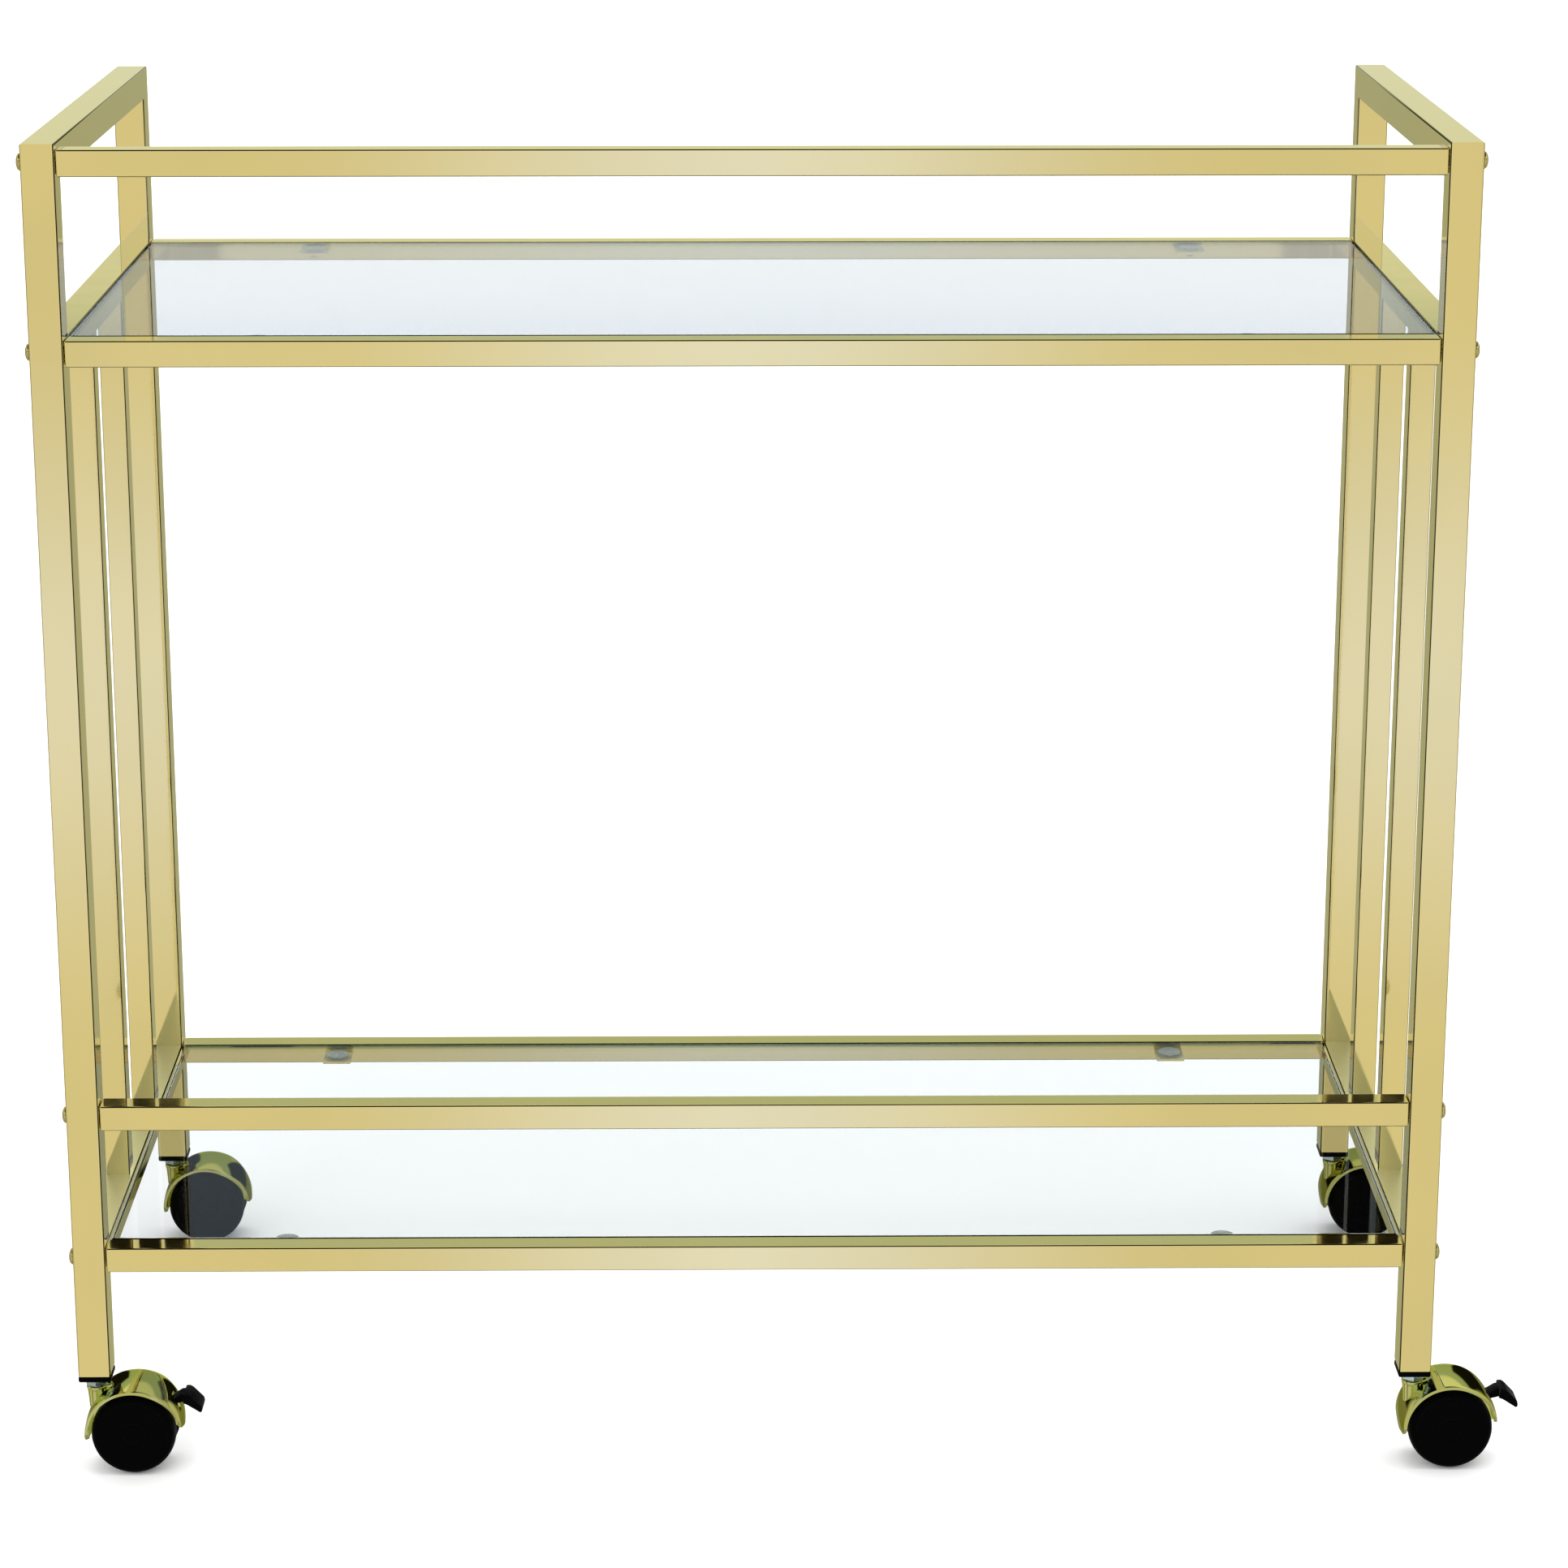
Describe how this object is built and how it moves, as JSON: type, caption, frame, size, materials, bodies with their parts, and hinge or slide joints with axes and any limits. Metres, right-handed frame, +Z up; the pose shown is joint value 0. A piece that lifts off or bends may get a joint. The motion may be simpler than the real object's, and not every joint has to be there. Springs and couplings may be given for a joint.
{
  "type": "bar cart",
  "caption": "Two-tier rolling bar cart: square-tube gold frame with handles and side pickets, bolted guard rails, glass shelves and twin-wheel swivel casters.",
  "frame": {"origin": "on the floor, under the middle of the whole cart's bounding box, casters and brake levers included", "axes": "+X to the cart's right as seen from the front, +Y towards the back, +Z up; the guard rails are on the front, -Y side"},
  "size_m": [0.8554, 0.383, 0.788],
  "materials": {
    "polished_brass_plate": "polished pale gold plate over steel tube",
    "caster_brass_plate": "bright gold plate on the caster body",
    "zinc_plated_steel": "zinc plated",
    "axle_steel": "bare steel",
    "black_plastic": "moulded black, semi-gloss",
    "clear_glass": "clear, polished edges",
    "clear_soft_pad": "translucent"
  },
  "bodies": {
    "frame": {"bolt_lower_guard_left": "polished_brass_plate", "bolt_lower_guard_right": "polished_brass_plate", "bolt_lower_shelf_back_left": "polished_brass_plate", "bolt_lower_shelf_back_right": "polished_brass_plate", "bolt_lower_shelf_front_left": "polished_brass_plate", "bolt_lower_shelf_front_right": "polished_brass_plate", "bolt_upper_guard_left": "polished_brass_plate", "bolt_upper_guard_right": "polished_brass_plate", "bolt_upper_shelf_back_left": "polished_brass_plate", "bolt_upper_shelf_back_right": "polished_brass_plate", "bolt_upper_shelf_front_left": "polished_brass_plate", "bolt_upper_shelf_front_right": "polished_brass_plate", "caster_stem_back_left": "zinc_plated_steel", "caster_stem_back_right": "zinc_plated_steel", "caster_stem_front_left": "zinc_plated_steel", "caster_stem_front_right": "zinc_plated_steel", "end_cap_back_left": "black_plastic", "end_cap_back_right": "black_plastic", "end_cap_front_left": "black_plastic", "end_cap_front_right": "black_plastic", "glass_pad_lower_back_left": "clear_soft_pad", "glass_pad_lower_back_right": "clear_soft_pad", "glass_pad_lower_front_left": "clear_soft_pad", "glass_pad_lower_front_right": "clear_soft_pad", "glass_pad_upper_back_left": "clear_soft_pad", "glass_pad_upper_back_right": "clear_soft_pad", "glass_pad_upper_front_left": "clear_soft_pad", "glass_pad_upper_front_right": "clear_soft_pad", "glass_shelf_lower": "clear_glass", "glass_shelf_upper": "clear_glass", "guard_rail_lower": "polished_brass_plate", "guard_rail_upper": "polished_brass_plate", "shelf_rail_lower_back": "polished_brass_plate", "shelf_rail_lower_front": "polished_brass_plate", "shelf_rail_upper_back": "polished_brass_plate", "shelf_rail_upper_front": "polished_brass_plate", "side_frame_left": "polished_brass_plate", "side_frame_right": "polished_brass_plate"},
    "brake_lever_front_left": {"brake_lever_front_left": "black_plastic"},
    "brake_lever_front_right": {"brake_lever_front_right": "black_plastic"},
    "caster_front_left": {"brake_pin_front_left": "axle_steel", "caster_body_front_left": "caster_brass_plate", "wheel_axle_front_left": "axle_steel"},
    "caster_front_right": {"brake_pin_front_right": "axle_steel", "caster_body_front_right": "caster_brass_plate", "wheel_axle_front_right": "axle_steel"},
    "caster_back_left": {"caster_body_back_left": "caster_brass_plate", "wheel_axle_back_left": "axle_steel"},
    "caster_back_right": {"caster_body_back_right": "caster_brass_plate", "wheel_axle_back_right": "axle_steel"},
    "wheel_back_left_aft": {"wheel_back_left_aft": "black_plastic"},
    "wheel_back_left_fore": {"wheel_back_left_fore": "black_plastic"},
    "wheel_back_right_aft": {"wheel_back_right_aft": "black_plastic"},
    "wheel_back_right_fore": {"wheel_back_right_fore": "black_plastic"},
    "wheel_front_left_aft": {"wheel_front_left_aft": "black_plastic"},
    "wheel_front_left_fore": {"wheel_front_left_fore": "black_plastic"},
    "wheel_front_right_aft": {"wheel_front_right_aft": "black_plastic"},
    "wheel_front_right_fore": {"wheel_front_right_fore": "black_plastic"}
  },
  "joints": [
    {"name": "caster_front_left_swivel", "type": "hinge", "parent": "frame", "child": "caster_front_left", "pos_m": [-0.41575, -0.1745, 0.0515], "axis": [0, 0, 1], "continuous": true},
    {"name": "wheel_front_left_fore_roll", "type": "hinge", "parent": "caster_front_left", "child": "wheel_front_left_fore", "pos_m": [-0.39375, -0.1745, 0.025], "axis": [0, 1, 0], "continuous": true},
    {"name": "wheel_front_left_aft_roll", "type": "hinge", "parent": "caster_front_left", "child": "wheel_front_left_aft", "pos_m": [-0.39375, -0.1745, 0.025], "axis": [0, 1, 0], "continuous": true},
    {"name": "brake_lever_front_left_pivot", "type": "hinge", "parent": "caster_front_left", "child": "brake_lever_front_left", "pos_m": [-0.37875, -0.1745, 0.039], "axis": [0, 1, 0], "range_deg": [0, 15]},
    {"name": "caster_front_right_swivel", "type": "hinge", "parent": "frame", "child": "caster_front_right", "pos_m": [0.36525, -0.1745, 0.0515], "axis": [0, 0, 1], "continuous": true},
    {"name": "wheel_front_right_fore_roll", "type": "hinge", "parent": "caster_front_right", "child": "wheel_front_right_fore", "pos_m": [0.38725, -0.1745, 0.025], "axis": [0, 1, 0], "continuous": true},
    {"name": "wheel_front_right_aft_roll", "type": "hinge", "parent": "caster_front_right", "child": "wheel_front_right_aft", "pos_m": [0.38725, -0.1745, 0.025], "axis": [0, 1, 0], "continuous": true},
    {"name": "brake_lever_front_right_pivot", "type": "hinge", "parent": "caster_front_right", "child": "brake_lever_front_right", "pos_m": [0.40225, -0.1745, 0.039], "axis": [0, 1, 0], "range_deg": [0, 15]},
    {"name": "caster_back_left_swivel", "type": "hinge", "parent": "frame", "child": "caster_back_left", "pos_m": [-0.41575, 0.1745, 0.0515], "axis": [0, 0, 1], "continuous": true},
    {"name": "wheel_back_left_fore_roll", "type": "hinge", "parent": "caster_back_left", "child": "wheel_back_left_fore", "pos_m": [-0.39375, 0.1745, 0.025], "axis": [0, 1, 0], "continuous": true},
    {"name": "wheel_back_left_aft_roll", "type": "hinge", "parent": "caster_back_left", "child": "wheel_back_left_aft", "pos_m": [-0.39375, 0.1745, 0.025], "axis": [0, 1, 0], "continuous": true},
    {"name": "caster_back_right_swivel", "type": "hinge", "parent": "frame", "child": "caster_back_right", "pos_m": [0.36525, 0.1745, 0.0515], "axis": [0, 0, 1], "continuous": true},
    {"name": "wheel_back_right_fore_roll", "type": "hinge", "parent": "caster_back_right", "child": "wheel_back_right_fore", "pos_m": [0.38725, 0.1745, 0.025], "axis": [0, 1, 0], "continuous": true},
    {"name": "wheel_back_right_aft_roll", "type": "hinge", "parent": "caster_back_right", "child": "wheel_back_right_aft", "pos_m": [0.38725, 0.1745, 0.025], "axis": [0, 1, 0], "continuous": true}
  ]
}
